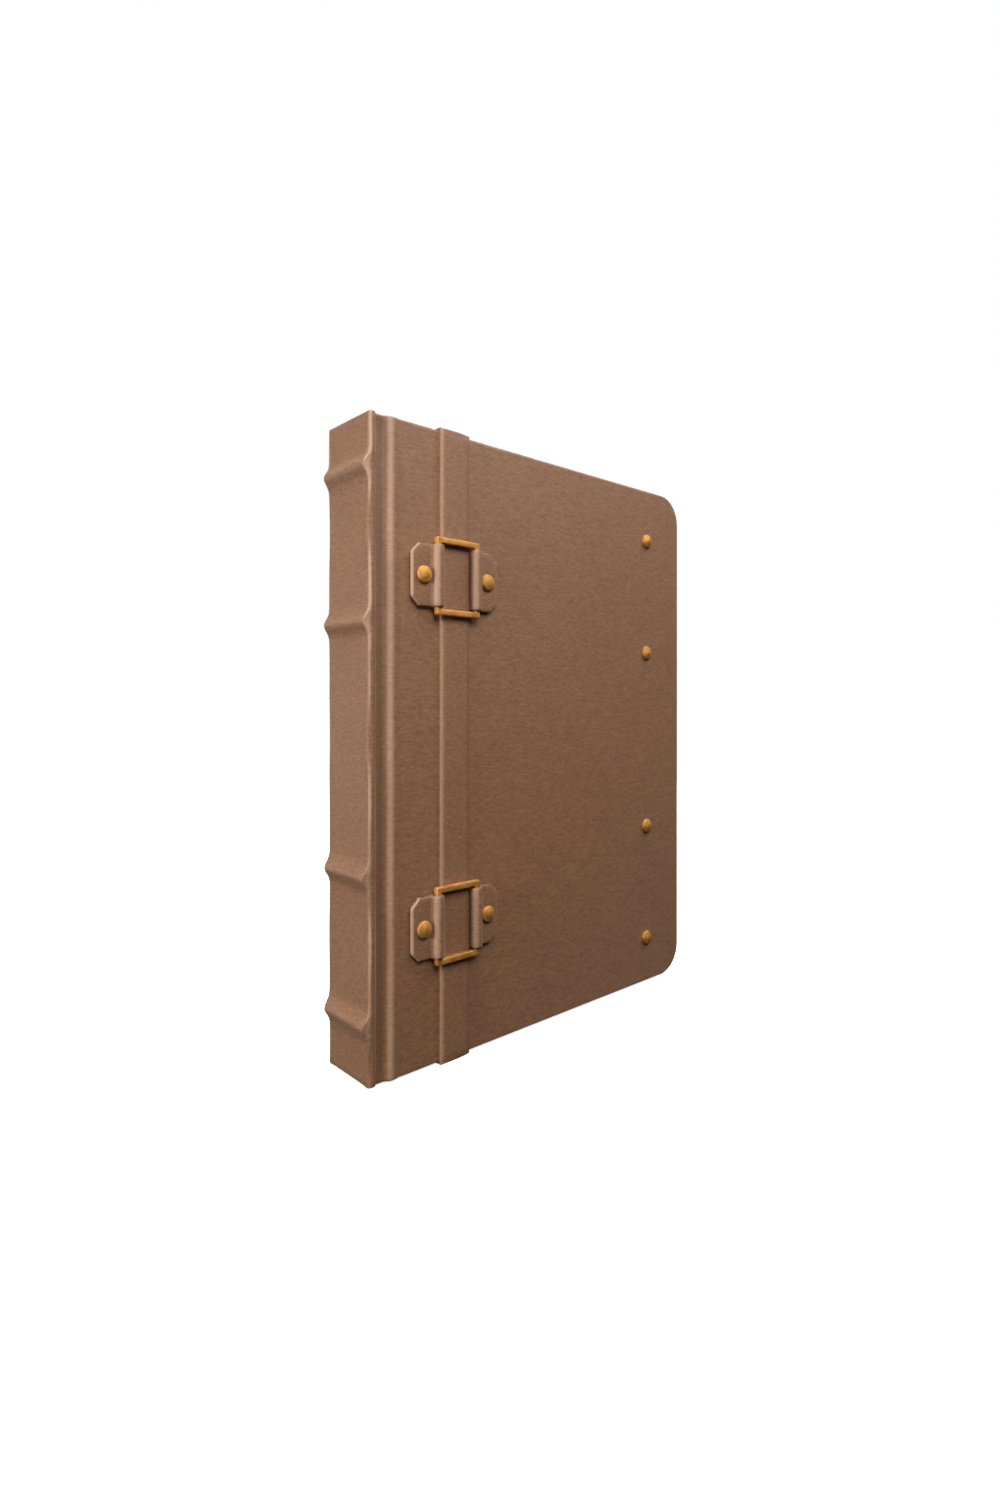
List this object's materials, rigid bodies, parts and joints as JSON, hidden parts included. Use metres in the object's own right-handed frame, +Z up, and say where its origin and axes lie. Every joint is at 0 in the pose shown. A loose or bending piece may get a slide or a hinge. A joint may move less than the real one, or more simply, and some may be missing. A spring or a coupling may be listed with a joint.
{
  "type": "leather scrapbook album",
  "caption": "Upright leather-bound scrapbook album with a ribbed spine, hinged board covers, screw-post leaves, and a strap held by brass rings and riveted tabs.",
  "frame": {"origin": "middle of the closed album's bounding box, at the level it stands on", "axes": "+Z up from the tail edge to the head, -X out of the spine, -Y out of the front cover"},
  "size_m": [0.2496, 0.0462, 0.322],
  "materials": {
    "leather": "matte fine grain, mid brown",
    "board": "bare grey board",
    "lining_cloth": "woven brown book cloth",
    "endpaper": "matte paper",
    "leaf_card": "matte cream card",
    "brass": "aged satin brass",
    "post_metal": "plain satin brass"
  },
  "bodies": {
    "spine": {"spine_leather": "leather", "spine_board": "board", "raised_band_1": "board", "raised_band_2": "board", "raised_band_3": "board", "raised_band_4": "board", "front_joint": "leather", "rear_joint": "leather", "spine_lining": "lining_cloth", "front_flange": "board", "rear_flange": "board", "leaf_stub_01": "leaf_card", "leaf_stub_02": "leaf_card", "leaf_stub_03": "leaf_card", "leaf_stub_04": "leaf_card", "leaf_stub_05": "leaf_card", "leaf_stub_06": "leaf_card", "leaf_stub_07": "leaf_card", "leaf_stub_08": "leaf_card", "leaf_stub_09": "leaf_card", "leaf_stub_10": "leaf_card", "post_barrel_1": "post_metal", "post_barrel_2": "post_metal", "post_screw_1": "post_metal", "post_screw_2": "post_metal"},
    "front_cover": {"front_leather": "leather", "front_board": "board", "front_bead": "board", "front_liner": "endpaper", "strap": "leather", "ring_upper": "brass", "ring_lower": "brass", "tab_upper_left": "leather", "tab_upper_right": "leather", "tab_lower_left": "leather", "tab_lower_right": "leather", "tab_rivet_1": "brass", "tab_rivet_2": "brass", "tab_rivet_3": "brass", "tab_rivet_4": "brass", "edge_stud_1": "brass", "edge_stud_2": "brass", "edge_stud_3": "brass", "edge_stud_4": "brass"},
    "rear_cover": {"rear_leather": "leather", "rear_board": "board", "rear_bead": "board", "rear_liner": "endpaper"},
    "leaf_01": {"leaf_01": "leaf_card"},
    "leaf_02": {"leaf_02": "leaf_card"},
    "leaf_03": {"leaf_03": "leaf_card"},
    "leaf_04": {"leaf_04": "leaf_card"},
    "leaf_05": {"leaf_05": "leaf_card"},
    "leaf_06": {"leaf_06": "leaf_card"},
    "leaf_07": {"leaf_07": "leaf_card"},
    "leaf_08": {"leaf_08": "leaf_card"},
    "leaf_09": {"leaf_09": "leaf_card"},
    "leaf_10": {"leaf_10": "leaf_card"}
  },
  "joints": [
    {"name": "front_hinge", "type": "hinge", "parent": "spine", "child": "front_cover", "pos_m": [-0.1146, -0.0134, 0.161], "axis": [0, 0, -1], "range_deg": [0, 105]},
    {"name": "rear_hinge", "type": "hinge", "parent": "spine", "child": "rear_cover", "pos_m": [-0.1146, 0.0196, 0.161], "axis": [0, 0, 1], "range_deg": [0, 105]},
    {"name": "leaf_01_crease", "type": "hinge", "parent": "spine", "child": "leaf_01", "pos_m": [-0.09545, -0.00617, 0.161], "axis": [0, 0, -1], "range_deg": [0, 56.7]},
    {"name": "leaf_02_crease", "type": "hinge", "parent": "spine", "child": "leaf_02", "pos_m": [-0.09545, -0.00411, 0.161], "axis": [0, 0, -1], "range_deg": [0, 44.1]},
    {"name": "leaf_03_crease", "type": "hinge", "parent": "spine", "child": "leaf_03", "pos_m": [-0.09545, -0.00205, 0.161], "axis": [0, 0, -1], "range_deg": [0, 31.5]},
    {"name": "leaf_04_crease", "type": "hinge", "parent": "spine", "child": "leaf_04", "pos_m": [-0.09545, 0.00001, 0.161], "axis": [0, 0, -1], "range_deg": [0, 18.9]},
    {"name": "leaf_05_crease", "type": "hinge", "parent": "spine", "child": "leaf_05", "pos_m": [-0.09545, 0.00207, 0.161], "axis": [0, 0, -1], "range_deg": [0, 6.3]},
    {"name": "leaf_06_crease", "type": "hinge", "parent": "spine", "child": "leaf_06", "pos_m": [-0.09545, 0.00413, 0.161], "axis": [0, 0, 1], "range_deg": [0, 6.3]},
    {"name": "leaf_07_crease", "type": "hinge", "parent": "spine", "child": "leaf_07", "pos_m": [-0.09545, 0.00619, 0.161], "axis": [0, 0, 1], "range_deg": [0, 18.9]},
    {"name": "leaf_08_crease", "type": "hinge", "parent": "spine", "child": "leaf_08", "pos_m": [-0.09545, 0.00825, 0.161], "axis": [0, 0, 1], "range_deg": [0, 31.5]},
    {"name": "leaf_09_crease", "type": "hinge", "parent": "spine", "child": "leaf_09", "pos_m": [-0.09545, 0.01031, 0.161], "axis": [0, 0, 1], "range_deg": [0, 44.1]},
    {"name": "leaf_10_crease", "type": "hinge", "parent": "spine", "child": "leaf_10", "pos_m": [-0.09545, 0.01237, 0.161], "axis": [0, 0, 1], "range_deg": [0, 56.7]}
  ],
  "couplings": [
    {"joint": "leaf_01_crease", "follows": "front_hinge", "ratio": 0.54},
    {"joint": "leaf_02_crease", "follows": "front_hinge", "ratio": 0.42},
    {"joint": "leaf_03_crease", "follows": "front_hinge", "ratio": 0.3},
    {"joint": "leaf_04_crease", "follows": "front_hinge", "ratio": 0.18},
    {"joint": "leaf_05_crease", "follows": "front_hinge", "ratio": 0.06},
    {"joint": "leaf_06_crease", "follows": "rear_hinge", "ratio": 0.06},
    {"joint": "leaf_07_crease", "follows": "rear_hinge", "ratio": 0.18},
    {"joint": "leaf_08_crease", "follows": "rear_hinge", "ratio": 0.3},
    {"joint": "leaf_09_crease", "follows": "rear_hinge", "ratio": 0.42},
    {"joint": "leaf_10_crease", "follows": "rear_hinge", "ratio": 0.54}
  ]
}
